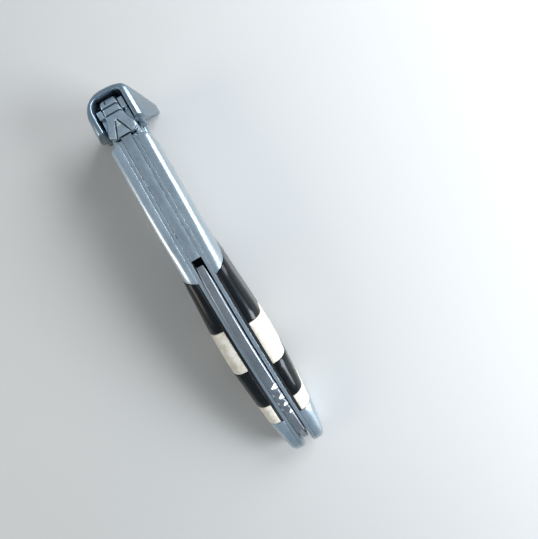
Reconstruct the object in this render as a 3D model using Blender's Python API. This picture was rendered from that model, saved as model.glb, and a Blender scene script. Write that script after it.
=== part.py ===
"""A waiter's corkscrew, folded shut: steel liners, bolsters and inlaid scale blocks make the handle,
and a boot lever with a cap lifter, a worm and a foil blade each turn on a pin of their own.

+X runs to the tail, +Y to the right side and +Z up to the spine. The origin is under the middle of
the tool, on the plane that the lever's beak and the tail stand on. Sizes are in metres.
"""

import math

import bmesh
import bpy
from mathutils import Vector

MM = 0.001

# Curves of the handle seen from the side and from above, as (station, value) in millimetres.
SPINE = ((-62, 20.9), (-46, 23.4), (-30, 24.8), (-8, 25.4), (15, 23.9), (30, 20.9), (50, 14.8), (59.7, 10.37))
BELLY = ((-60, 8.6), (-46, 9.4), (-22, 10.4), (0, 8.8), (15, 6.8), (30, 4.2), (50, 0.7), (57.6, 0.0))
HALF_WIDTH = ((-62, 6.5), (-46, 6.5), (-20, 6.5), (-12, 6.5), (-3, 6.6), (6, 7.35), (15, 8.1), (26, 8.5),
              (34, 8.3), (39, 8.05), (47, 7.6), (51, 7.4), (55, 6.8), (61.5, 5.5), (63, 4.2))
JOINT_LEAN = ((-46, 0.0), (-15, 0.2), (0.7, 0.55), (16.8, 0.25), (31.1, 0.3), (43.8, 0.38), (50.2, 0.4),
              (57.6, 0.0), (63, 0.0))
# Elliptical rounding of the sides' upper edges: its radius across and its radius down.
ROUND_ACROSS = ((-46, 1.8), (-14, 2.0), (0.7, 3.4), (12, 4.2), (28, 4.4), (47, 3.6), (57, 2.6), (62.8, 1.5))
ROUND_DOWN = ((-46, 1.8), (-14, 2.2), (0.7, 4.0), (12, 5.0), (28, 5.0), (47, 4.0), (57, 2.6), (62.8, 1.0))
LOWER_ROUND = 2.0 * MM
TAIL_X = 57.6 * MM
TAIL_RADIUS = 5.4 * MM
TAIL_BLEND_X = 59.7 * MM

# Layers across the handle, measured from its middle plane.
SPRING_HALF = 1.55 * MM
BLADE_HALF = 1.45 * MM
LINER_IN, LINER_OUT = 1.7 * MM, 2.8 * MM
BACKING_IN, BACKING_OUT = 2.9 * MM, 3.6 * MM
BOLSTER_IN, BLOCK_IN = 2.9 * MM, 3.7 * MM
TONGUE_IN, TONGUE_OUT = 3.0 * MM, 4.5 * MM
GLUE_GAP = 0.1 * MM
RUN_GAP = 0.3 * MM
OBLIQUE = 0.5
OBLIQUE_REACH = 9 * MM

# Joints between the pieces of a side, at the spine.
BOLSTER_FRONT_X = -45.9 * MM
BOLSTER_CORNER = 1.4 * MM
FIRST_JOINT_X, LAST_JOINT_X = 0.7 * MM, 49.7 * MM
INNER_JOINTS = {"left": (15.9 * MM, 30.0 * MM, 42.9 * MM), "right": (17.5 * MM, 31.9 * MM, 44.0 * MM)}
BLOCK_NAMES = ("black_front", "ivory_front", "black_rear", "ivory_rear")
STATION_STEP = 3.2 * MM

# The three pivots, as (x, z).
LEVER_PIVOT = (-53.2 * MM, 17.4 * MM)
WORM_PIVOT = (0.0, 13.5 * MM)
BLADE_PIVOT = (55.8 * MM, 5.4 * MM)
PIN_RADIUS = 1.2 * MM
RIVET_RADIUS = 0.9 * MM
HOLE_GAP = 0.15 * MM

NOSE_RADIUS = 5.8 * MM
# The tongues' round fronts follow the inside of the lever's head, which is wider on the right.
TONGUE_RADIUS = {"left": 6.2 * MM, "right": 7.0 * MM}
TONGUE_TOP_Z, TONGUE_STEP_X = 21.4 * MM, -55.6 * MM
LEVER_BORE_HALF, LEVER_PIN_HALF = 7.2 * MM, 7.1 * MM
TANG_RELIEF_X, TANG_RELIEF_HALF = 56.3 * MM, 0.7 * MM
HEAD_THICK = 1.6 * MM
HEAD_TIP_X, HEAD_REAR_X = -60.9 * MM, -47.85 * MM
HEAD_HALF = ((-60.9, 1.6), (-60.5, 2.2), (-59.6, 2.6), (-56.3, 2.7), (-53.6, 3.2), (-51.1, 4.2), (-49.2, 4.6),
             (-48.3, 4.25), (-47.85, 3.5))
# Filed grooves in the spring head: two points in plan, in millimetres.
HEAD_GROOVES = (((-58, -6), (-58, 6)), ((-55.5, -6), (-55.5, 6)), ((-53.4, 0), (-46.9, 2.6)),
                ((-53, -0.6), (-46.9, -2.8)), ((-62, -0.9), (-59, -0.9)))
GROOVE_WIDTH, GROOVE_DEPTH = 0.53 * MM, 0.35 * MM
SPRING_REAR_X, SPRING_FOOT_X = -5.9 * MM, -1.8 * MM
SPRING_LAP_X = -50.2 * MM
SPRING_THICK, SPRING_LEDGE = 3.8 * MM, 1.0 * MM
SPRING_RIVETS_X = (-38 * MM, -14 * MM)

WORM_DROP = math.radians(10.5)
WORM_RADIUS = 4.0 * MM
WIRE_RADIUS = 1.3 * MM
WORM_EYE_RADIUS = 3.6 * MM
WORM_SHANK = 8.0 * MM
WORM_PITCH = 7.4 * MM
WORM_TURNS = 5
CHANNEL_HALF = 4.6 * MM
CHANNEL_START, CHANNEL_END = 3.4 * MM, 48.5 * MM

BLADE_TIP_X, BLADE_HEEL_X = -3.6 * MM, 55.9 * MM
BLADE_SHIFT = -0.15 * MM
BLADE_TANG_RADIUS = 4.9 * MM
BLADE_TIP_HALF, BLADE_TIP_TAPER = 1.0 * MM, 0.075
BLADE_BEVEL = 0.35 * MM
# Height of the blade's back above the spine, and depth of its edge below the spine.
BLADE_PROUD = ((-3.6, -0.2), (2, 0.8), (12, 2.0), (28, 1.8), (40, 1.0), (50, 0.5), (56.6, 0.3))
BLADE_DEPTH = ((-3.6, 0.7), (0, 2.2), (5, 3.0), (13, 4.6), (25, 4.6), (30, 4.5), (40, 4.2), (50, 4.0))
# Notches filed in the blade's back: place, side, width and depth in millimetres.
FILE_NOTCHES = ((38.2, 1, 2.4, 1.9), (40.6, -1, 1.9, 0.7), (42.2, 1, 2.4, 1.5), (43.8, -1, 1.8, 0.7),
                (44.9, 1, 2.0, 1.4), (46.2, -1, 1.7, 0.7), (48.0, 1, 1.9, 1.1))
NOTCH_SLOPE = 0.7
LEAF_FRONT_X, LEAF_REAR_X = 5.0 * MM, 49.4 * MM
LEAF_THICK = ((5, 3.0), (18, 2.6), (30, 1.8), (40, 1.2), (50, 0.9))
LEAF_RIVETS_X = (9.6 * MM, 17.3 * MM)

# Level sections of the lever's head: height, front, rear, half width and depth of the arched front.
LEVER_LEVELS = ((0, -61.4, -58.7, 10.9, 1.0), (1, -61.9, -58.0, 11.2, 2.0), (4, -62.5, -57.0, 10.8, 3.2),
                (8, -62.8, -55.4, 10.1, 4.2), (12, -63.0, -54.0, 9.4, 4.8), (16, -63.0, -51.8, 8.7, 5.2),
                (20, -63.0, -50.8, 7.9, 5.5), (22.4, -62.9, -51.2, 7.3, 5.5), (23.1, -62.1, -51.4, 6.4, 4.7))
# The arched front sweeps far back on the left and turns sharply on the right.
ARCH_LEFT, ARCH_RIGHT = 1.45, 0.5
# Sections of the lever's arm: place, underside and half width, with the top given only under the nose.
LEVER_ARM = ((-60.5, 5.0, 5.6, 9.2), (-55.5, 5.2, 5.4, 9.2), (-51.0, 5.4, 5.2, 9.2), (-46.6, 5.5, 5.0, None),
             (-40.0, 5.9, 5.0, None), (-30.0, 6.3, 5.0, None), (-20.0, 6.2, 5.0, None), (-10.5, 5.5, 5.0, None),
             (-7.5, 5.1, 6.9, None), (0.0, 4.0, 6.9, None), (6.0, 3.2, 6.9, None), (9.7, 3.0, 6.6, None))
LEVER_ARM_GAP = 0.4 * MM
LEVER_CHEEK_IN = 5.2 * MM
LEVER_WALL_IN_X, LEVER_WALL_ARCH = -61.3 * MM, 3.6 * MM
LEVER_FLOOR_Z = 9.6 * MM
LEVER_BOSS_HALF = 6.6 * MM
LEVER_BOSS = ((-57.5, 22.3), (-51.5, 22.3), (-50.4, 20), (-49.9, 16), (-51.5, 12.5), (-55, 9), (-57.5, 9))
RECESS_RADIUS, RECESS_HALF = 8.7 * MM, 3.4 * MM
FORK_HALF = 4.7 * MM
FORK_ROOT_X = -1.6 * MM


def clear_scene():
    for item in list(bpy.data.objects):
        bpy.data.objects.remove(item)


def through(keys, x):
    """Value at x of the smooth curve through keys, which are in millimetres; x and the value are metres."""
    at = x / MM
    i = 0
    while i < len(keys) - 2 and at > keys[i + 1][0]:
        i += 1
    (x0, v0), (x1, v1) = keys[i], keys[i + 1]
    before = keys[max(i - 1, 0)]
    after = keys[min(i + 2, len(keys) - 1)]
    span = x1 - x0
    rise0 = span * (v1 - before[1]) / (x1 - before[0])
    rise1 = span * (after[1] - v0) / (after[0] - x0)
    t = min(max((at - x0) / span, 0), 1)
    value = (2 * t**3 - 3 * t**2 + 1) * v0 + (3 * t**2 - 2 * t**3) * v1
    value += (t**3 - 2 * t**2 + t) * rise0 + (t**3 - t**2) * rise1
    return value * MM


def tail_drop(x):
    """Half height of the round tail at x."""
    return math.sqrt(max(TAIL_RADIUS**2 - (x - TAIL_X) ** 2, 0))


def spine_z(x):
    return TAIL_RADIUS + tail_drop(x) if x > TAIL_BLEND_X else through(SPINE, x)


def belly_z(x):
    return TAIL_RADIUS - tail_drop(x) if x > TAIL_X else through(BELLY, x)


def half_width(x):
    """Half width of the handle, with the bolsters' front corners rounded in plan."""
    into = max(0, BOLSTER_CORNER - (x - BOLSTER_FRONT_X))
    return through(HALF_WIDTH, x) - BOLSTER_CORNER + math.sqrt(max(BOLSTER_CORNER**2 - into**2, 0))


def belly_foot(x):
    """Point of the belly on the leaning joint line that starts at the spine's x."""
    lean = through(JOINT_LEAN, x) / MM
    foot, z = x, belly_z(x)
    for _ in range(8):
        foot = x - lean * (spine_z(x) - z)
        z = belly_z(foot)
    return Vector((foot, 0, z))


def worm_axis_z(x):
    return WORM_PIVOT[1] - (x - WORM_PIVOT[0]) * math.tan(WORM_DROP)


def material(name, colour, roughness, metallic):
    found = bpy.data.materials.get(name)
    if found:
        return found
    made = bpy.data.materials.new(name)
    made.use_nodes = True
    shader = made.node_tree.nodes["Principled BSDF"]
    shader.inputs["Base Color"].default_value = (*colour, 1)
    shader.inputs["Roughness"].default_value = roughness
    shader.inputs["Metallic"].default_value = metallic
    return made


def satin_steel():
    return material("satin_steel", (0.33, 0.38, 0.42), 0.32, 1)


def spring_steel():
    return material("spring_steel", (0.24, 0.27, 0.30), 0.35, 1)


def black_horn():
    return material("black_horn", (0.008, 0.011, 0.014), 0.25, 0)


def bone():
    return material("bone", (0.82, 0.78, 0.68), 0.35, 0)


def black_fibre():
    return material("black_fibre", (0.005, 0.006, 0.007), 0.6, 0)


def finish(name, mesh, finish_material, origin=(0, 0, 0)):
    """Makes the bmesh an object of that name, with its origin at the given world point."""
    bmesh.ops.remove_doubles(mesh, verts=mesh.verts, dist=1e-7)
    bmesh.ops.recalc_face_normals(mesh, faces=mesh.faces)
    bmesh.ops.translate(mesh, verts=mesh.verts, vec=-Vector(origin))
    data = bpy.data.meshes.new(name)
    mesh.to_mesh(data)
    mesh.free()
    data.shade_smooth()
    data.set_sharp_from_angle(angle=math.radians(35))
    made = bpy.data.objects.new(name, data)
    made.location = origin
    bpy.context.scene.collection.objects.link(made)
    if finish_material:
        data.materials.append(finish_material)
    return made


def loft(rings):
    """A closed body bridged from ring to ring and capped at both ends."""
    mesh = bmesh.new()
    loops = []
    for ring in rings:
        corners = [mesh.verts.new(point) for point in ring]
        pairs = zip(corners, corners[1:] + corners[:1])
        loops.append([mesh.edges.new(pair) for pair in pairs])
        if ring is rings[0] or ring is rings[-1]:
            mesh.faces.new(corners)
    for near, far in zip(loops, loops[1:]):
        bmesh.ops.bridge_loops(mesh, edges=near + far)
    return mesh


def prism(outline, reach):
    """A face through the outline's points, extruded by reach."""
    mesh = bmesh.new()
    face = mesh.faces.new([mesh.verts.new(point) for point in outline])
    grown = bmesh.ops.extrude_face_region(mesh, geom=[face])["geom"]
    moved = [item for item in grown if isinstance(item, bmesh.types.BMVert)]
    bmesh.ops.translate(mesh, verts=moved, vec=reach)
    return mesh


def plate(outline, y0, y1):
    """A flat plate of the (x, z) outline between two planes across the handle."""
    return prism([(x, y0, z) for x, z in outline], (0, y1 - y0, 0))


def arc(centre, radius, start, end, steps, rise=None):
    """Points (a, b) on an arc between two angles in degrees; rise is the radius along b of an ellipse."""
    turns = [math.radians(start + (end - start) * i / steps) for i in range(steps + 1)]
    rise = rise or radius
    return [(centre[0] + radius * math.cos(a), centre[1] + rise * math.sin(a)) for a in turns]


def stations(start, end, step=STATION_STEP):
    count = max(1, round((end - start) / step))
    return [start + (end - start) * i / count for i in range(count + 1)]


def cylinder_y(radius, half_length, centre, sides=20):
    """A round body across the handle, on the (x, z) centre."""
    ring = arc(centre, radius, 0, 360, sides)[:-1]
    return plate(ring, -half_length, half_length)


def as_cutter(name, mesh):
    made = finish(name, mesh, None)
    made.hide_render = True
    made.display_type = "WIRE"
    return made


def combine(target, operation, other):
    """Adds a Boolean on the target that joins or cuts it with a helper object."""
    modifier = target.modifiers.new(other.name, "BOOLEAN")
    modifier.operation = operation
    modifier.object = other


def side_ring(x, y_in, side, y_out=None):
    """Ring of one piece of the handle's side on the joint line at x, rounded where it reaches the outside."""
    top = Vector((x, 0, spine_z(x)))
    down = belly_foot(x) - top
    height = down.length
    down.normalize()
    across, deep, lower = 0, 0, 0
    if y_out is None:
        y_out = half_width(x)
        across = min(through(ROUND_ACROSS, x), 0.85 * (y_out - BLOCK_IN))
        deep = min(through(ROUND_DOWN, x), 0.45 * height)
        lower = min(LOWER_ROUND, 0.42 * height, 0.42 * (y_out - BLOCK_IN))
    upper_edge = arc((y_out - across, deep), across, -90, 0, 5, deep)
    lower_edge = arc((y_out - lower, height - lower), lower, 0, 90, 3)
    oblique = OBLIQUE * max(0, 1 - abs(x - FIRST_JOINT_X) / OBLIQUE_REACH)
    ring = []
    for y, depth in [(y_in, 0), *upper_edge, *lower_edge, (y_in, height)]:
        back = Vector((-oblique * (y - BOLSTER_IN), side * y, 0))
        ring.append(top + down * depth + back)
    return ring


def side_piece(name, xs, y_in, side, finish_material, y_out=None):
    """One piece of the handle's side, lofted along the joint lines at xs."""
    rings = [side_ring(x, y_in, side, y_out) for x in xs]
    return finish(name, loft(rings), finish_material)


def nose_outline(rear_x, rear_top, rear_bottom):
    """Round nose about the lever pivot, running back to rear_x, under the spring head."""
    front = arc(LEVER_PIVOT, NOSE_RADIUS, 270, 158, 8)
    top = [(x, spine_z(x) - HEAD_THICK - RUN_GAP) for x in stations(-57.4 * MM, -46.6 * MM)]
    return [(rear_x, rear_bottom), *front, *top, (-46.4 * MM, rear_top), (rear_x, rear_top)]


def tongue_outline(radius):
    """Side view of a bolster's tongue: a round front about the lever pivot, then a run under the spring head."""
    climb = math.degrees(math.asin((TONGUE_TOP_Z - LEVER_PIVOT[1]) / radius))
    front = arc(LEVER_PIVOT, radius, 270, 180 - climb, 10)
    under = [(x, spine_z(x) - HEAD_THICK - RUN_GAP) for x in stations(TONGUE_STEP_X + 0.2 * MM, -46.6 * MM)]
    rear = [(-46.4 * MM, 21 * MM), (-44 * MM, 21 * MM), (-44 * MM, LEVER_PIVOT[1] - radius)]
    return [*front, (TONGUE_STEP_X, TONGUE_TOP_Z), *under, *rear]


def pin_tool(name, centre, half_length, radius=PIN_RADIUS):
    return as_cutter(name, cylinder_y(radius + HOLE_GAP, half_length, centre))


def spring_rivet_place(x):
    return (x, spine_z(x) - SPRING_THICK / 2)


def leaf_under_z(x):
    """Underside of the blade's leaf spring, just clear of the worm's turns."""
    return worm_axis_z(x) + WORM_RADIUS / math.cos(WORM_DROP) + 0.35 * MM


def leaf_rivet_place(x):
    return (x, leaf_under_z(x) + through(LEAF_THICK, x) / 2)


def make_tools():
    """The helper bodies that drill the pin holes and mill the worm's channel."""
    tools = {
        "lever": pin_tool("tool_lever_pin", LEVER_PIVOT, 12 * MM),
        "worm": pin_tool("tool_worm_pin", WORM_PIVOT, 6 * MM),
        "blade": pin_tool("tool_blade_pin", BLADE_PIVOT, 12 * MM),
    }
    places = [spring_rivet_place(x) for x in SPRING_RIVETS_X] + [leaf_rivet_place(x) for x in LEAF_RIVETS_X]
    for number, place in enumerate(places):
        tools[f"rivet_{number}"] = pin_tool(f"tool_rivet_{number}", place, 6 * MM, RIVET_RADIUS)
    tools["channel"] = channel_tool()
    return tools


def channel_tool():
    """A round-topped trough along the folded worm, open to the belly."""
    along = Vector((math.cos(WORM_DROP), 0, -math.sin(WORM_DROP)))
    up = Vector((math.sin(WORM_DROP), 0, math.cos(WORM_DROP)))
    start = Vector((WORM_PIVOT[0], 0, WORM_PIVOT[1])) + along * CHANNEL_START
    section = arc((0, 0), CHANNEL_HALF, 0, 180, 12)
    section = [(CHANNEL_HALF, -14 * MM), *section, (-CHANNEL_HALF, -14 * MM)]
    outline = [start + up * rise + Vector((0, y, 0)) for y, rise in section]
    return as_cutter("tool_channel", prism(outline, along * (CHANNEL_END - CHANNEL_START)))


def make_liner(name, side, tools):
    """Full-length inner plate of one side, which every pin passes through."""
    top = [(x, spine_z(x)) for x in stations(-46.4 * MM, TAIL_BLEND_X, 4 * MM)]
    tail = arc((TAIL_X, TAIL_RADIUS), TAIL_RADIUS, 60, -90, 12)
    belly = [(x, belly_z(x)) for x in stations(53.5 * MM, -46.4 * MM, -4 * MM)]
    bottom_of_nose = LEVER_PIVOT[1] - NOSE_RADIUS
    nose = nose_outline(-46.4 * MM, spine_z(-46.4 * MM), bottom_of_nose)
    outline = [*nose[:-2], *top, *tail, *belly]
    liner = finish(name, plate(outline, side * LINER_IN, side * LINER_OUT), spring_steel())
    for tool in tools.values():
        combine(liner, "DIFFERENCE", tool)
    return liner


def make_front_bolster(side_name, side, tools):
    """Solid steel front of the side, with a thinner tongue that enters the lever's head."""
    name = f"front_bolster_{side_name}"
    corner = [BOLSTER_FRONT_X + BOLSTER_CORNER * share for share in (0, 0.12, 0.35, 0.65)]
    xs = corner + stations(BOLSTER_FRONT_X + BOLSTER_CORNER, FIRST_JOINT_X - GLUE_GAP)
    bolster = side_piece(name, xs, BOLSTER_IN, side, satin_steel())
    outline = tongue_outline(TONGUE_RADIUS[side_name])
    tongue = as_cutter(f"tongue_{name}", plate(outline, side * TONGUE_IN, side * TONGUE_OUT))
    combine(bolster, "UNION", tongue)
    combine(bolster, "DIFFERENCE", tools["lever"])
    return bolster


def make_tail_bolster(name, side, tools):
    """Steel cap of the side's tail, rounded to the end of the liners."""
    xs = [LAST_JOINT_X + GLUE_GAP, 52 * MM, 54 * MM, BLADE_PIVOT[0], TAIL_X, TAIL_BLEND_X]
    xs += [61.1 * MM, 62.0 * MM, 62.5 * MM, 62.8 * MM]
    bolster = side_piece(name, xs, BOLSTER_IN, side, satin_steel())
    combine(bolster, "DIFFERENCE", tools["blade"])
    combine(bolster, "DIFFERENCE", tools["channel"])
    return bolster


def make_blocks(side_name, side, tools):
    """Black and ivory scale blocks of one side, and the black backing that they are glued to."""
    xs = stations(FIRST_JOINT_X + GLUE_GAP, LAST_JOINT_X - GLUE_GAP)
    backing = side_piece(f"scale_backing_{side_name}", xs, BACKING_IN, side, black_fibre(), BACKING_OUT)
    combine(backing, "DIFFERENCE", tools["channel"])
    joints = (FIRST_JOINT_X, *INNER_JOINTS[side_name], LAST_JOINT_X)
    for name, x0, x1 in zip(BLOCK_NAMES, joints, joints[1:]):
        colour = black_horn() if name.startswith("black") else bone()
        xs = stations(x0 + GLUE_GAP, x1 - GLUE_GAP)
        block = side_piece(f"scale_{side_name}_{name}", xs, BLOCK_IN, side, colour)
        combine(block, "DIFFERENCE", tools["channel"])


def make_spine_spring(tools):
    """Back spring of the lever: flush in the spine, lapped under its head, with a ledge under the blade's tip."""
    lap = [(x, spine_z(x) - HEAD_THICK - RUN_GAP) for x in (SPRING_LAP_X, HEAD_REAR_X + RUN_GAP)]
    back = [(x, spine_z(x)) for x in stations(HEAD_REAR_X + 2 * RUN_GAP, SPRING_REAR_X, 5 * MM)]
    ledge = [(x, spine_z(x) - SPRING_THICK + SPRING_LEDGE) for x in (SPRING_REAR_X, SPRING_FOOT_X)]
    under = [(x, spine_z(x) - SPRING_THICK) for x in stations(SPRING_FOOT_X, -44 * MM, -6 * MM)]
    tip = [(SPRING_LAP_X, spine_z(SPRING_LAP_X) - SPRING_THICK + 0.2 * MM)]
    outline = [*lap, *back, *ledge, *under, *tip]
    spring = finish("spine_spring", plate(outline, -SPRING_HALF, SPRING_HALF), satin_steel())
    combine(spring, "DIFFERENCE", tools["rivet_0"])
    combine(spring, "DIFFERENCE", tools["rivet_1"])


def head_groove(number, start, end):
    """A V cutter that follows the spine from one point in plan to another."""
    (x0, y0), (x1, y1) = [(x * MM, y * MM) for x, y in (start, end)]
    near = Vector((x0, y0, spine_z(x0)))
    along = Vector((x1, y1, spine_z(x1))) - near
    across = Vector((-along.y, along.x, 0)).normalized() * GROOVE_WIDTH
    lift = Vector((0, 0, GROOVE_DEPTH))
    return as_cutter(f"tool_groove_{number}", prism([near - lift, near + lift - across, near + lift + across], along))


def make_spring_head():
    """Fan-shaped plate welded on the end of the spine spring, with filed grooves."""
    edge = 0.4 * MM
    rings = []
    for x in stations(HEAD_TIP_X, HEAD_REAR_X, 0.8 * MM):
        half = through(HEAD_HALF, x)
        sunk = max(0, HEAD_TIP_X + 0.8 * MM - x)
        top = spine_z(x) - sunk
        bottom = spine_z(x) - HEAD_THICK
        rings.append([(x, -half, bottom), (x, half, bottom), (x, half, top - edge), (x, half - edge, top),
                      (x, edge - half, top), (x, -half, top - edge)])
    head = finish("spring_head", loft(rings), satin_steel())
    for number, (start, end) in enumerate(HEAD_GROOVES):
        combine(head, "DIFFERENCE", head_groove(number, start, end))


def make_pin(name, centre, half_length, radius=PIN_RADIUS):
    origin = (centre[0], 0, centre[1])
    return finish(name, cylinder_y(radius, half_length, centre, 16), spring_steel(), origin)


def make_pins():
    make_pin("lever_pin", LEVER_PIVOT, LEVER_PIN_HALF)
    make_pin("worm_pin", WORM_PIVOT, LINER_OUT)
    make_pin("blade_pin", BLADE_PIVOT, 6.5 * MM)
    make_pin("spring_rivet_front", spring_rivet_place(SPRING_RIVETS_X[0]), LINER_OUT, RIVET_RADIUS)
    make_pin("spring_rivet_rear", spring_rivet_place(SPRING_RIVETS_X[1]), LINER_OUT, RIVET_RADIUS)
    make_pin("leaf_rivet_front", leaf_rivet_place(LEAF_RIVETS_X[0]), LINER_OUT, RIVET_RADIUS)
    make_pin("leaf_rivet_rear", leaf_rivet_place(LEAF_RIVETS_X[1]), LINER_OUT, RIVET_RADIUS)


def make_blade_spring(tools):
    """Leaf spring of the foil blade, between the worm and the blade's edge."""
    xs = stations(LEAF_FRONT_X, LEAF_REAR_X, 5 * MM)
    under = [(x, leaf_under_z(x)) for x in xs]
    over = [(x, leaf_under_z(x) + through(LEAF_THICK, x)) for x in reversed(xs)]
    leaf = finish("blade_spring", plate([*under, *over], -SPRING_HALF, SPRING_HALF), spring_steel())
    combine(leaf, "DIFFERENCE", tools["rivet_2"])
    combine(leaf, "DIFFERENCE", tools["rivet_3"])


def blade_back_z(x):
    return spine_z(x) + through(BLADE_PROUD, x)


def blade_body():
    """Flat blade and its round tang, with both edges of the back bevelled."""
    back = [(x, blade_back_z(x)) for x in stations(BLADE_TIP_X, BLADE_HEEL_X, 4 * MM)]
    heel = [(BLADE_HEEL_X + 0.7 * MM, blade_back_z(BLADE_HEEL_X) - 0.7 * MM)]
    tang = arc(BLADE_PIVOT, BLADE_TANG_RADIUS, 60, -205, 18)
    edge = [(x, spine_z(x) - through(BLADE_DEPTH, x)) for x in stations(50 * MM, BLADE_TIP_X, -3.5 * MM)]
    mesh = plate([*back, *heel, *tang, *edge], BLADE_SHIFT - BLADE_HALF, BLADE_SHIFT + BLADE_HALF)
    on_back = {vert for vert in mesh.verts if vert.co.z > blade_back_z(vert.co.x) - 0.1 * MM}
    ridge = [e for e in mesh.edges if on_back.issuperset(e.verts) and abs(e.calc_length()) > 3 * MM]
    bmesh.ops.bevel(mesh, geom=ridge, offset=BLADE_BEVEL, segments=1, affect="EDGES", profile=0.5, material=-1)
    return mesh


def tip_wedge(side):
    """Cutter that thins one side of the blade towards its tip."""
    x0, x1 = BLADE_TIP_X - 1 * MM, BLADE_TIP_X + 9 * MM
    y0, y1 = [BLADE_SHIFT + side * (BLADE_TIP_HALF + BLADE_TIP_TAPER * (x - BLADE_TIP_X)) for x in (x0, x1)]
    outline = [(x0, y0), (x1, y1), (x1, side * 4 * MM), (x0, side * 4 * MM)]
    return as_cutter(f"tool_tip_{side}", level_prism(outline, 12 * MM, 32 * MM))


def tang_relief(side):
    """Cutter that thins one side of the tang behind the blade's heel."""
    outline = [(TANG_RELIEF_X, -2 * MM), (64 * MM, -2 * MM), (64 * MM, 13 * MM), (TANG_RELIEF_X, 13 * MM)]
    inner = BLADE_SHIFT + side * TANG_RELIEF_HALF
    return as_cutter(f"tool_tang_{side}", plate(outline, inner, side * 3 * MM))


def file_notch(number, x, side, width, depth):
    """Cutter for one V notch of the blade's back, whose floor slopes down to the outside."""
    edge = BLADE_SHIFT + side * BLADE_HALF
    shape = ((-0.5, 0), (-0.12, 0.9), (0, 1), (0.12, 0.9), (0.5, 0))
    outline = [(x + share * width, edge - side * inward * depth) for share, inward in shape]
    outline += [(x + 0.7 * width, edge + side * 1 * MM), (x - 0.7 * width, edge + side * 1 * MM)]
    apex = edge - side * depth
    floor = [(a, b, blade_back_z(a) - 0.1 * MM - NOTCH_SLOPE * side * (b - apex)) for a, b in outline]
    return as_cutter(f"tool_notch_{number}", loft([floor, [(a, b, c + 5 * MM) for a, b, c in floor]]))


def make_foil_blade():
    """Foil blade, its back proud of the spine and filed with alternating notches near the tail."""
    origin = (BLADE_PIVOT[0], 0, BLADE_PIVOT[1])
    blade = finish("foil_blade", blade_body(), satin_steel(), origin)
    combine(blade, "DIFFERENCE", pin_tool("tool_blade_bore", BLADE_PIVOT, 6 * MM))
    combine(blade, "DIFFERENCE", tang_relief(-1))
    combine(blade, "DIFFERENCE", tang_relief(1))
    combine(blade, "DIFFERENCE", tip_wedge(-1))
    combine(blade, "DIFFERENCE", tip_wedge(1))
    for number, (x, side, width, depth) in enumerate(FILE_NOTCHES):
        combine(blade, "DIFFERENCE", file_notch(number, x * MM, side, width * MM, depth * MM))


def worm_wire():
    """The shank and the turns of the worm as one tapered wire."""
    along = Vector((math.cos(WORM_DROP), 0, -math.sin(WORM_DROP)))
    up = Vector((math.sin(WORM_DROP), 0, math.cos(WORM_DROP)))
    per_turn = 12
    pivot = Vector((WORM_PIVOT[0], 0, WORM_PIVOT[1]))
    points = [(pivot + along * distance, 1) for distance in (1.5 * MM, 4 * MM, 6 * MM)]
    for i in range(per_turn * WORM_TURNS + 1):
        turn = i / per_turn
        out = (WORM_RADIUS - WIRE_RADIUS) * min(1, turn / 0.75)
        tip = max(0, turn - (WORM_TURNS - 1.25)) / 1.25
        angle = 2 * math.pi * turn
        spot = pivot + along * (WORM_SHANK + WORM_PITCH * turn)
        spot += (out * (1 - 0.25 * tip)) * (up * math.cos(angle) + Vector((0, math.sin(angle), 0)))
        points.append((spot, 1 - 0.8 * tip**1.5))
    curve = bpy.data.curves.new("worm_wire", "CURVE")
    curve.dimensions = "3D"
    curve.bevel_depth = WIRE_RADIUS
    curve.bevel_resolution = 2
    curve.use_fill_caps = True
    wire = curve.splines.new("POLY")
    wire.points.add(len(points) - 1)
    for point, (spot, thickness) in zip(wire.points, points):
        point.co = (*spot, 1)
        point.radius = thickness
    holder = bpy.data.objects.new("worm_wire", curve)
    bpy.context.scene.collection.objects.link(holder)
    mesh = bmesh.new()
    mesh.from_mesh(bpy.data.meshes.new_from_object(holder))
    bpy.data.objects.remove(holder)
    return as_cutter("worm_wire", mesh)


def make_worm():
    """Worm: a flat eye on the pin, a straight shank and five open turns that end in a point."""
    origin = (WORM_PIVOT[0], 0, WORM_PIVOT[1])
    worm = finish("worm", cylinder_y(WORM_EYE_RADIUS, BLADE_HALF, WORM_PIVOT, 24), satin_steel(), origin)
    combine(worm, "UNION", worm_wire())
    combine(worm, "DIFFERENCE", pin_tool("tool_worm_bore", WORM_PIVOT, 6 * MM))


def arched_front(front, half, depth, power):
    """Plan of the arched front, from the right side round to the left."""
    points = []
    for x, y in arc((0, 0), 1, 90, -90, 12):
        sweep = depth * (ARCH_RIGHT if y > 0 else ARCH_LEFT)
        points.append((front + sweep * (1 - abs(x) ** (2 / power)), half * math.copysign(abs(y) ** (2 / power), y)))
    return points


def lever_head():
    """Cupped head of the lever, flaring down to the beak."""
    rings = []
    for level in LEVER_LEVELS:
        z, front, rear, half, depth = (value * MM for value in level)
        outline = [(rear, half), *arched_front(front, half, depth, 2.3), (rear, -half)]
        rings.append([(x, y, z) for x, y in outline])
    return rings


def lever_arm():
    """Arm of the lever under the belly, widening to the fork that rests on a bottle's lip."""
    edge = 0.6 * MM
    rings = []
    for place, under, wide, over in LEVER_ARM:
        x, bottom, half = place * MM, under * MM, wide * MM
        top = over * MM if over else belly_z(x) - LEVER_ARM_GAP
        section = [(-half, bottom + edge), (edge - half, bottom), (half - edge, bottom), (half, bottom + edge),
                   (half, top - edge), (half - edge, top), (edge - half, top), (-half, top - edge)]
        rings.append([(x, y, z) for y, z in section])
    return rings


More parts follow.
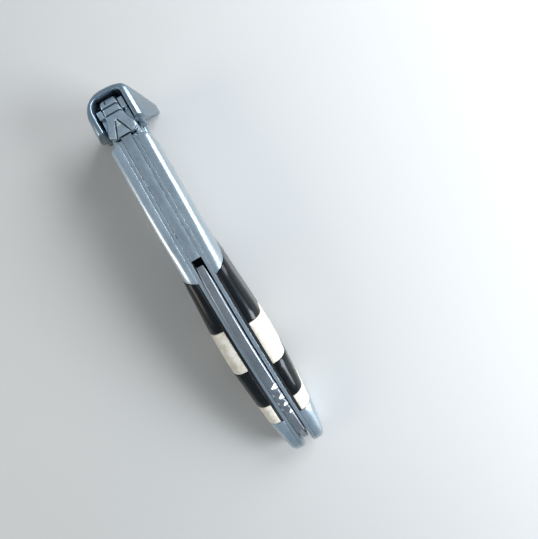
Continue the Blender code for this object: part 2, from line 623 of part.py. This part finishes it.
def lever_tang():
    """Thin hub between the liners, which the spring head bears on, and its leg to the lever's floor."""
    x, z = LEVER_PIVOT
    hub = arc((x, z), 2.7 * MM, -48, 250, 16)
    leg = [(x - 0.3 * MM, LEVER_FLOOR_Z - 2 * MM), (x + 2.0 * MM, LEVER_FLOOR_Z - 2 * MM)]
    return plate([*hub, *leg], -BLADE_HALF, BLADE_HALF)


def lever_boss():
    """Thicker metal of both cheeks round the lever's pin."""
    outline = [(x * MM, z * MM) for x, z in LEVER_BOSS]
    return plate(outline, -LEVER_BOSS_HALF, LEVER_BOSS_HALF)


def level_prism(outline, z0, z1):
    return prism([(x, y, z0) for x, y in outline], (0, 0, z1 - z0))


def lever_cavity():
    """The cup of the head, open upwards and to the rear."""
    front = arched_front(LEVER_WALL_IN_X, LEVER_CHEEK_IN, LEVER_WALL_ARCH, 3)
    outline = [(-40 * MM, LEVER_CHEEK_IN), *front, (-40 * MM, -LEVER_CHEEK_IN)]
    return level_prism(outline, LEVER_FLOOR_Z, 30 * MM)


def fork_gap():
    """The slot of the fork, with a round root."""
    root = arc((FORK_ROOT_X, 0), FORK_HALF, 90, 270, 10)
    outline = [(15 * MM, FORK_HALF), *root, (15 * MM, -FORK_HALF)]
    return level_prism(outline, -3 * MM, 14 * MM)


def make_lever():
    """Forged lever: cupped head and cap lifter in front, arm along the belly, fork at the free end."""
    origin = (LEVER_PIVOT[0], 0, LEVER_PIVOT[1])
    lever = finish("lever", loft(lever_head()), satin_steel(), origin)
    combine(lever, "UNION", as_cutter("lever_arm", loft(lever_arm())))
    combine(lever, "UNION", as_cutter("lever_boss", lever_boss()))
    combine(lever, "DIFFERENCE", as_cutter("lever_cavity", lever_cavity()))
    recess = cylinder_y(RECESS_RADIUS, RECESS_HALF, LEVER_PIVOT, 40)
    combine(lever, "DIFFERENCE", as_cutter("tip_recess", recess))
    combine(lever, "UNION", as_cutter("lever_tang", lever_tang()))
    combine(lever, "DIFFERENCE", as_cutter("fork_gap", fork_gap()))
    step = [(6.2 * MM, -1 * MM), (6.2 * MM, 4.9 * MM), (12 * MM, 4.9 * MM), (12 * MM, -1 * MM)]
    combine(lever, "DIFFERENCE", as_cutter("lip_step", plate(step, -9 * MM, 9 * MM)))
    combine(lever, "DIFFERENCE", pin_tool("tool_lever_bore", LEVER_PIVOT, LEVER_BORE_HALF))


clear_scene()
hole_tools = make_tools()
for side_name, side_sign in (("left", -1), ("right", 1)):
    make_liner(f"liner_{side_name}", side_sign, hole_tools)
    make_front_bolster(side_name, side_sign, hole_tools)
    make_blocks(side_name, side_sign, hole_tools)
    make_tail_bolster(f"tail_bolster_{side_name}", side_sign, hole_tools)
make_spine_spring(hole_tools)
make_spring_head()
make_blade_spring(hole_tools)
make_pins()
make_foil_blade()
make_worm()
make_lever()
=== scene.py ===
"""Looks of the folded waiter's corkscrew: each piece in the order that a cutler puts the tool together."""

import math

import bmesh
import bpy
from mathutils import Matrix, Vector


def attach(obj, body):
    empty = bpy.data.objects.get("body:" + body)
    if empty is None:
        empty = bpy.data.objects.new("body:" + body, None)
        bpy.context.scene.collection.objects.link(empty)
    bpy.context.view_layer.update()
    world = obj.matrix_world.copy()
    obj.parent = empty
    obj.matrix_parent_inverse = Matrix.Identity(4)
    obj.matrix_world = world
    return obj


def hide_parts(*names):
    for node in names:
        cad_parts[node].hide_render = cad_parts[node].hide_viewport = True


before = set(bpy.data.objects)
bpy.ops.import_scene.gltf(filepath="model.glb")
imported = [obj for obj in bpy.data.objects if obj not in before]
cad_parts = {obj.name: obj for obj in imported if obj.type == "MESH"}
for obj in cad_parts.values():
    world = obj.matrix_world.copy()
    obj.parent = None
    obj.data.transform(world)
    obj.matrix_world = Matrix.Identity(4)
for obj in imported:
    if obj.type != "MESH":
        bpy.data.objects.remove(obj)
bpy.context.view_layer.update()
MM = 0.001

# How a CAD part's mesh is cleaned up.
WELD_DISTANCE = 0.002 * MM
FLAT_ANGLE = math.radians(0.5)      # facets that meet at less than this become one face
SHARP_ANGLE = math.radians(32)      # edges that turn by more than this are eased
CRISP_ANGLE = math.radians(38)      # edges that turn by more than this stay crisp when shaded

# What all the steels share.
STEEL_LAY = (0.045, 1, 1)           # streaks are drawn out along the tool
CLOUD_MM = 11
STREAK_SHARE, CLOUD_SHARE = 0.6, 0.6
# reach of the painted shade in crevices
CREVICE_SHADE_MM = 0.7


# --- Helpers ------------------------------------------------------------------------------------

def linear(colour):
    """Linear values, with alpha, of an sRGB hex colour."""
    parts = [int(colour[i:i + 2], 16) / 255 for i in (0, 2, 4)]
    return (*[c / 12.92 if c <= 0.04045 else ((c + 0.055) / 1.055) ** 2.4 for c in parts], 1)


def add(tree, kind, settings=None, links=None):
    """Adds one node to a material with its settings and the sockets that feed it.

    The stops of a colour ramp are (place, sRGB hex) pairs.
    """
    node = tree.nodes.new(kind)
    for name, value in (settings or {}).items():
        if name == "stops":
            while len(node.color_ramp.elements) < len(value):
                node.color_ramp.elements.new(1)
            for element, (place, colour) in zip(node.color_ramp.elements, value):
                element.position = place
                element.color = linear(colour)
        elif isinstance(name, int) or name in node.inputs:
            node.inputs[name].default_value = value
        else:
            setattr(node, name, value)
    for name, source in (links or {}).items():
        tree.links.new(source, node.inputs[name])
    return node


def blank_material(name):
    """A new material, with its node tree, its shader and the place on the tool that patterns read."""
    made = bpy.data.materials.new(name)
    made.use_nodes = True
    tree = made.node_tree
    place = add(tree, "ShaderNodeTexCoord").outputs["Object"]
    return made, tree, tree.nodes["Principled BSDF"], place


def worked_steel(name, dark, light, roughness, streak_mm, speck_mm, relief_mm, crevice_shade="5a646c"):
    """Steel rubbed along the tool: long fine streaks over a cloudy, faintly pitted ground.

    Crevices get painted shade: where little is open around them, the colour is darkened towards a shade
    colour of their own.
    """
    made, tree, shader, place = blank_material(name)
    shader.inputs["Metallic"].default_value = 1
    lay = add(tree, "ShaderNodeMapping", {"Scale": STEEL_LAY}, {"Vector": place}).outputs[0]
    streaks = add(tree, "ShaderNodeTexNoise",
                  {"Scale": 1 / (streak_mm * MM), "Detail": 3}, {"Vector": lay}).outputs[0]
    specks = add(tree, "ShaderNodeTexNoise",
                 {"Scale": 1 / (speck_mm * MM), "Detail": 3}, {"Vector": place}).outputs[0]
    clouds = add(tree, "ShaderNodeTexNoise",
                 {"Scale": 1 / (CLOUD_MM * MM), "Detail": 2}, {"Vector": place}).outputs[0]
    ground = add(tree, "ShaderNodeMath",
                 {"operation": "MULTIPLY_ADD", 1: STREAK_SHARE}, {0: streaks, 2: specks}).outputs[0]
    ground = add(tree, "ShaderNodeMath",
                 {"operation": "MULTIPLY_ADD", 1: CLOUD_SHARE}, {0: clouds, 2: ground}).outputs[0]
    ground = add(tree, "ShaderNodeMapRange",
                 {"From Min": 0.8, "From Max": 1.4}, {"Value": ground}).outputs[0]
    colour = add(tree, "ShaderNodeValToRGB",
                 {"stops": ((0, dark), (1, light))}, {"Fac": ground}).outputs["Color"]
    # Painted shade: where ambient occlusion finds the surface closed in, in crevices and between parts, the
    # colour is darkened towards the crevice colour.
    open_sky = add(tree, "ShaderNodeAmbientOcclusion",
                   {"Distance": CREVICE_SHADE_MM * MM, "samples": 8}).outputs["AO"]
    shade = add(tree, "ShaderNodeValToRGB",
                {"stops": ((0.2, crevice_shade), (0.8, "ffffff"))}, {"Fac": open_sky}).outputs["Color"]
    colour = add(tree, "ShaderNodeMix",
                 {"data_type": "RGBA", "blend_type": "MULTIPLY", 0: 1}, {6: colour, 7: shade})
    tree.links.new(colour.outputs[2], shader.inputs["Base Color"])
    rub = add(tree, "ShaderNodeMapRange",
              {"To Min": roughness - 0.05, "To Max": roughness + 0.07}, {"Value": ground})
    tree.links.new(rub.outputs[0], shader.inputs["Roughness"])
    height = add(tree, "ShaderNodeMath", {"operation": "ADD"}, {0: streaks, 1: specks}).outputs[0]
    bump = add(tree, "ShaderNodeBump",
               {"Strength": 1, "Distance": relief_mm * MM}, {"Height": height})
    tree.links.new(bump.outputs[0], shader.inputs["Normal"])
    return made


def eased_copy(node, ease_mm, piece_name, body, slot_name, finish, painted_mask=None, painted_finish=None):
    """A copy of a CAD part with its facets merged and its sharp edges eased, in place of the rough one.

    Faces picked by the mask get a second finish, which paints shade or a highlight on them.
    """
    mesh = bmesh.new()
    mesh.from_mesh(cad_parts[node].data)
    bmesh.ops.remove_doubles(mesh, verts=mesh.verts, dist=WELD_DISTANCE)
    bmesh.ops.dissolve_limit(mesh, angle_limit=FLAT_ANGLE, verts=mesh.verts, edges=mesh.edges)
    for face in mesh.faces:
        face.normal_update()
        face.material_index = int(bool(painted_mask and painted_mask(face)))
    sharp = [e for e in mesh.edges if len(e.link_faces) == 2 and e.calc_face_angle() > SHARP_ANGLE]
    if ease_mm:
        bmesh.ops.bevel(mesh, geom=sharp, offset=ease_mm * MM, segments=2, profile=0.5,
                        affect="EDGES", material=-1)
    bmesh.ops.triangulate(mesh, faces=mesh.faces)
    piece = fitted(mesh, piece_name, body, slot_name, finish, node)
    if painted_finish:
        piece.data.materials.append(painted_finish)
    return piece


def fitted(mesh, piece_name, body, slot_name, finish, *nodes):
    """Makes the mesh a smooth-shaded piece that stands for the nodes and moves with the body."""
    data = bpy.data.meshes.new(piece_name)
    mesh.to_mesh(data)
    mesh.free()
    data.shade_smooth()
    data.set_sharp_from_angle(angle=CRISP_ANGLE)
    data.materials.append(finish)
    piece = bpy.data.objects.new(piece_name, data)
    bpy.context.scene.collection.objects.link(piece)
    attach(piece, body)
    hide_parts(*nodes)
    return piece


# --- Liners -------------------------------------------------------------------------------------
# The two full-length plates that carry every pin. They are stainless sheet, punched out, ground
# flat and eased along their edges, so a thin line of light runs along each edge.

ground_steel = worked_steel("ground_stainless_sheet", "a3aeb6", "c6d0d7",
                            roughness=0.34, streak_mm=0.16, speck_mm=0.3, relief_mm=0.004)
for side in ("left", "right"):
    eased_copy(f"liner_{side}", 0.02, f"liner_plate_{side}", "handle", "spring_steel", ground_steel)


# --- Springs and rivets --------------------------------------------------------------------------
# The back spring lies flush in the spine, and a leaf spring holds the foil blade. Both are carbon
# spring steel, ground bright, and are held between the liners by peened rivets.

spring_steel = worked_steel("ground_spring_steel", "9aa5ad", "bdc7ce",
                            roughness=0.36, streak_mm=0.16, speck_mm=0.3, relief_mm=0.004)
SEAT_START = -6.3 * MM      # place along the tool


def blade_seat(face):
    """True on the step behind the spring, where the blade's tip drops in: it is painted near black as
    shade.
    """
    return face.calc_center_median().x > SEAT_START


# The step is painted near black: painted shade, standing for the dark hole behind the spring.
seat_painted_shade_steel = worked_steel("seat_black_painted_shade", "0c0e10", "1a1d20",
                          roughness=0.6, streak_mm=0.2, speck_mm=0.4, relief_mm=0.006)
eased_copy("spine_spring", 0.02, "back_spring", "handle", "satin_steel", spring_steel,
           blade_seat, seat_painted_shade_steel)
eased_copy("blade_spring", 0.1, "leaf_spring", "handle", "spring_steel", spring_steel)
for rivet in ("spring_rivet_front", "spring_rivet_rear", "leaf_rivet_front", "leaf_rivet_rear"):
    eased_copy(rivet, 0.08, f"peened_{rivet}", "handle", "spring_steel", spring_steel)


# --- Bolsters -------------------------------------------------------------------------------------
# Solid stainless ends of both sides, forged, then brushed lengthwise to a satin that hands have
# worn soft and bright along the outer edges.

satin_steel = worked_steel("satin_brushed_stainless", "a9b6be", "cdd8df",
                           roughness=0.33, streak_mm=0.18, speck_mm=0.32, relief_mm=0.005)
for side in ("left", "right"):
    for bolster in (f"front_bolster_{side}", f"tail_bolster_{side}"):
        eased_copy(bolster, 0.05, f"{bolster}_satin", "handle", "satin_steel", satin_steel)


# --- Scale backing --------------------------------------------------------------------------------
# Thin black vulcanised fibre between each liner and its scale blocks. It is matt, and its cut edge
# shows as a black line along the pale blocks.

def fibre_sheet():
    """Pressed black fibre, dull, with a faint fuzz."""
    made, tree, shader, place = blank_material("black_vulcanised_fibre")
    shader.inputs["Roughness"].default_value = 0.7
    fuzz = add(tree, "ShaderNodeTexNoise",
               {"Scale": 1 / (0.3 * MM), "Detail": 4}, {"Vector": place}).outputs[0]
    colour = add(tree, "ShaderNodeValToRGB",
                 {"stops": ((0.35, "07090a"), (0.7, "15181a"))}, {"Fac": fuzz}).outputs["Color"]
    tree.links.new(colour, shader.inputs["Base Color"])
    bump = add(tree, "ShaderNodeBump", {"Strength": 0.6, "Distance": 0.03 * MM}, {"Height": fuzz})
    tree.links.new(bump.outputs[0], shader.inputs["Normal"])
    return made


fibre = fibre_sheet()
for side in ("left", "right"):
    eased_copy(f"scale_backing_{side}", 0, f"fibre_backing_{side}", "handle", "black_fibre", fibre)


# --- Scale blocks ---------------------------------------------------------------------------------
# Blocks of polished buffalo horn and bleached bone, glued to the backing, then shaped and polished
# together, so their surfaces run on from one to the next with a hair line between them.

def polished_horn():
    """Black horn: almost black, with blue-grey fibres that run along the block, and a soft polish."""
    made, tree, shader, place = blank_material("polished_black_horn")
    shader.inputs["IOR"].default_value = 1.55
    shader.inputs["Specular IOR Level"].default_value = 0.24
    lay = add(tree, "ShaderNodeMapping", {"Scale": (0.12, 1, 1)}, {"Vector": place}).outputs[0]
    fibres = add(tree, "ShaderNodeTexNoise",
                 {"Scale": 1 / (0.7 * MM), "Detail": 5}, {"Vector": lay}).outputs[0]
    pits = add(tree, "ShaderNodeTexNoise",
               {"Scale": 1 / (0.35 * MM), "Detail": 3}, {"Vector": place}).outputs[0]
    stops = ((0.4, "07090b"), (0.6, "0d1215"), (0.75, "172027"))
    colour = add(tree, "ShaderNodeValToRGB", {"stops": stops}, {"Fac": fibres}).outputs["Color"]
    tree.links.new(colour, shader.inputs["Base Color"])
    rub = add(tree, "ShaderNodeMapRange", {"To Min": 0.16, "To Max": 0.28}, {"Value": pits})
    tree.links.new(rub.outputs[0], shader.inputs["Roughness"])
    bump = add(tree, "ShaderNodeBump", {"Strength": 0.5, "Distance": 0.006 * MM}, {"Height": pits})
    tree.links.new(bump.outputs[0], shader.inputs["Normal"])
    return made


def bleached_bone():
    """Bone: warm white, cloudy, with short darker pores along the grain under a low polish."""
    made, tree, shader, place = blank_material("bleached_polished_bone")
    shader.inputs["IOR"].default_value = 1.54
    clouds = add(tree, "ShaderNodeTexNoise",
                 {"Scale": 1 / (2.6 * MM), "Detail": 4}, {"Vector": place}).outputs[0]
    lay = add(tree, "ShaderNodeMapping", {"Scale": (0.22, 1, 1)}, {"Vector": place}).outputs[0]
    pores = add(tree, "ShaderNodeTexNoise",
                {"Scale": 1 / (0.32 * MM), "Detail": 3}, {"Vector": lay}).outputs[0]
    stops = ((0.35, "c9bfac"), (0.5, "d6cebf"), (0.68, "e0dacd"))
    ground = add(tree, "ShaderNodeValToRGB", {"stops": stops}, {"Fac": clouds}).outputs["Color"]
    marks = add(tree, "ShaderNodeValToRGB",
                {"stops": ((0.3, "b9ab93"), (0.42, "ffffff"))}, {"Fac": pores}).outputs["Color"]
    colour = add(tree, "ShaderNodeMix",
                 {"data_type": "RGBA", "blend_type": "MULTIPLY", 0: 0.6}, {6: ground, 7: marks})
    tree.links.new(colour.outputs[2], shader.inputs["Base Color"])
    rub = add(tree, "ShaderNodeMapRange", {"To Min": 0.28, "To Max": 0.45}, {"Value": clouds})
    tree.links.new(rub.outputs[0], shader.inputs["Roughness"])
    bump = add(tree, "ShaderNodeBump", {"Strength": 0.5, "Distance": 0.008 * MM}, {"Height": pores})
    tree.links.new(bump.outputs[0], shader.inputs["Normal"])
    return made


horn = polished_horn()
bone = bleached_bone()
for side in ("left", "right"):
    for end in ("front", "rear"):
        eased_copy(f"scale_{side}_black_{end}", 0.1, f"horn_block_{side}_{end}",
                   "handle", "black_horn", horn)
        eased_copy(f"scale_{side}_ivory_{end}", 0.1, f"bone_block_{side}_{end}",
                   "handle", "bone", bone)


# --- Spring head ----------------------------------------------------------------------------------
# A small fan of steel welded on the end of the back spring. The cutler shapes it and cuts its lines
# with files into grooves between rounded lands; the grooves' flanks are painted dark as shade.

# Upright part of the normal of a filed groove's flank, and how far a face may be off it.
FLANK_RISE, FLANK_TOLERANCE = 0.6, 0.04


def groove_flank(face):
    """True on the flanks of the grooves cut with files, which are left rough and painted dark as shade."""
    return abs(face.normal.z - FLANK_RISE) < FLANK_TOLERANCE


filed_steel = worked_steel("filed_satin_stainless", "aab7bf", "d2dce2",
                           roughness=0.36, streak_mm=0.18, speck_mm=0.32, relief_mm=0.005)
# The groove flanks are painted dark: painted shade in the grooves.
groove_painted_shade_steel = worked_steel("file_groove_painted_shade", "39424a", "56626b",
                            roughness=0.55, streak_mm=0.18, speck_mm=0.32, relief_mm=0.005)
eased_copy("spring_head", 0.12, "spring_head_filed", "handle", "satin_steel", filed_steel,
           groove_flank, groove_painted_shade_steel)


# --- Foil blade -----------------------------------------------------------------------------------
# The blade that cuts the foil is hardened stainless, ground flat, with light bevels along its back
# and file marks near its heel.

NOTCH_START, NOTCH_END = 36 * MM, 50 * MM
FLOOR_RISE_MIN, FLOOR_RISE_MAX = 0.75, 0.87     # upright part of the normal of a file mark's floor
FLOOR_LEAN_MIN = 0.4                            # least sideways part of that normal


def notch_floor(face):
    """True on the sloping floors of the file marks, which are painted near white as a highlight."""
    in_row = NOTCH_START < face.calc_center_median().x < NOTCH_END
    rises = FLOOR_RISE_MIN < face.normal.z < FLOOR_RISE_MAX
    return in_row and rises and abs(face.normal.y) > FLOOR_LEAN_MIN


blade_steel = worked_steel("ground_blade_stainless", "84888d", "a7abb0",
                           roughness=0.36, streak_mm=0.16, speck_mm=0.3, relief_mm=0.005)
# The file marks' floors are painted near white: a painted highlight, as if they caught the light.
notch_painted_highlight_steel = worked_steel("notch_painted_highlight", "eef3f6", "ffffff",
                           roughness=0.3, streak_mm=0.2, speck_mm=0.4, relief_mm=0.002, crevice_shade="dfe5e9")
eased_copy("foil_blade", 0.06, "foil_blade_ground", "blade", "satin_steel", blade_steel,
           notch_floor, notch_painted_highlight_steel)


# --- Worm -----------------------------------------------------------------------------------------
# Drawn carbon-steel wire, pointed, wound in five open turns, hardened and polished.

worm_steel = worked_steel("polished_steel_wire", "9aa3aa", "c9d0d5",
                          roughness=0.24, streak_mm=0.2, speck_mm=0.4, relief_mm=0.003)
eased_copy("worm", 0, "worm_wound", "worm", "spring_steel", worm_steel)


# --- Lever ----------------------------------------------------------------------------------------
# The boot lever is forged in one piece: a cupped head whose flared beak lifts crown caps, an arm
# along the belly and a fork that rests on the bottle's lip.

forged_steel = worked_steel("forged_satin_stainless", "74848f", "a3b3be",
                            roughness=0.33, streak_mm=0.2, speck_mm=0.36, relief_mm=0.006, crevice_shade="6e7a83")
eased_copy("lever", 0.2, "boot_lever", "lever", "satin_steel", forged_steel)


# --- Pivot pins -----------------------------------------------------------------------------------
# Steel pins of 2.4 mm. Only the blade's comes through to the outside, at the tail: the lever's ends
# in blind bores, and the worm's ends under the scales.

for pin in ("lever_pin", "worm_pin", "blade_pin"):
    eased_copy(pin, 0.15, f"peened_{pin}", "handle", "spring_steel", ground_steel)


# --- Floor, light and camera ----------------------------------------------------------------------
# A plain pale table, two soft lights on the tool's right side, towards its head and its tail, a
# weaker one on its left, and a camera that looks straight down, turned as the tool lies.

LIGHT_AIM = Vector((0, 0, 0.01))


def stage_floor():
    """A plain table top under the tool. It belongs to the stage, not to the tool."""
    mesh = bmesh.new()
    bmesh.ops.create_grid(mesh, x_segments=1, y_segments=1, size=1.5)
    data = bpy.data.meshes.new("table_top")
    mesh.to_mesh(data)
    mesh.free()
    made = bpy.data.materials.new("pale_matt_table")
    made.use_nodes = True
    made.node_tree.nodes["Principled BSDF"].inputs["Base Color"].default_value = linear("b6b4b0")
    made.node_tree.nodes["Principled BSDF"].inputs["Roughness"].default_value = 0.8
    data.materials.append(made)
    floor = bpy.data.objects.new("table_top", data)
    bpy.context.scene.collection.objects.link(floor)


def soft_light(name, place, watts, size, colour):
    """A square soft box at the place, turned towards the tool."""
    lamp = bpy.data.lights.new(name, "AREA")
    lamp.energy = watts
    lamp.size = size
    lamp.color = linear(colour)[:3]
    box = bpy.data.objects.new(name, lamp)
    box.location = place
    box.rotation_euler = (LIGHT_AIM - Vector(place)).to_track_quat("-Z", "Y").to_euler()
    bpy.context.scene.collection.objects.link(box)


stage_floor()
soft_light("window_tail", (0.20, 0.30, 0.19), 2.2, 0.2, "eef6ff")
soft_light("window_head", (-0.13, 0.30, 0.22), 1.7, 0.24, "f3f8ff")
soft_light("window_left", (-0.05, -0.36, 0.2), 0.6, 0.2, "fff1e0")
sky = bpy.data.worlds.new("studio")
sky.use_nodes = True
sky.node_tree.nodes["Background"].inputs["Color"].default_value = linear("c9dbea")
sky.node_tree.nodes["Background"].inputs["Strength"].default_value = 0.57
bpy.context.scene.world = sky

lens = bpy.data.cameras.new("camera")
lens.lens = 28.06
lens.sensor_width = 36
lens.clip_start = 0.005
camera = bpy.data.objects.new("camera", lens)
camera.location = (0.0070, 0.0166, 0.1448)
camera.rotation_euler = (0, 0, math.radians(60))
bpy.context.scene.collection.objects.link(camera)
bpy.context.scene.camera = camera
bpy.context.scene.view_settings.view_transform = "Standard"
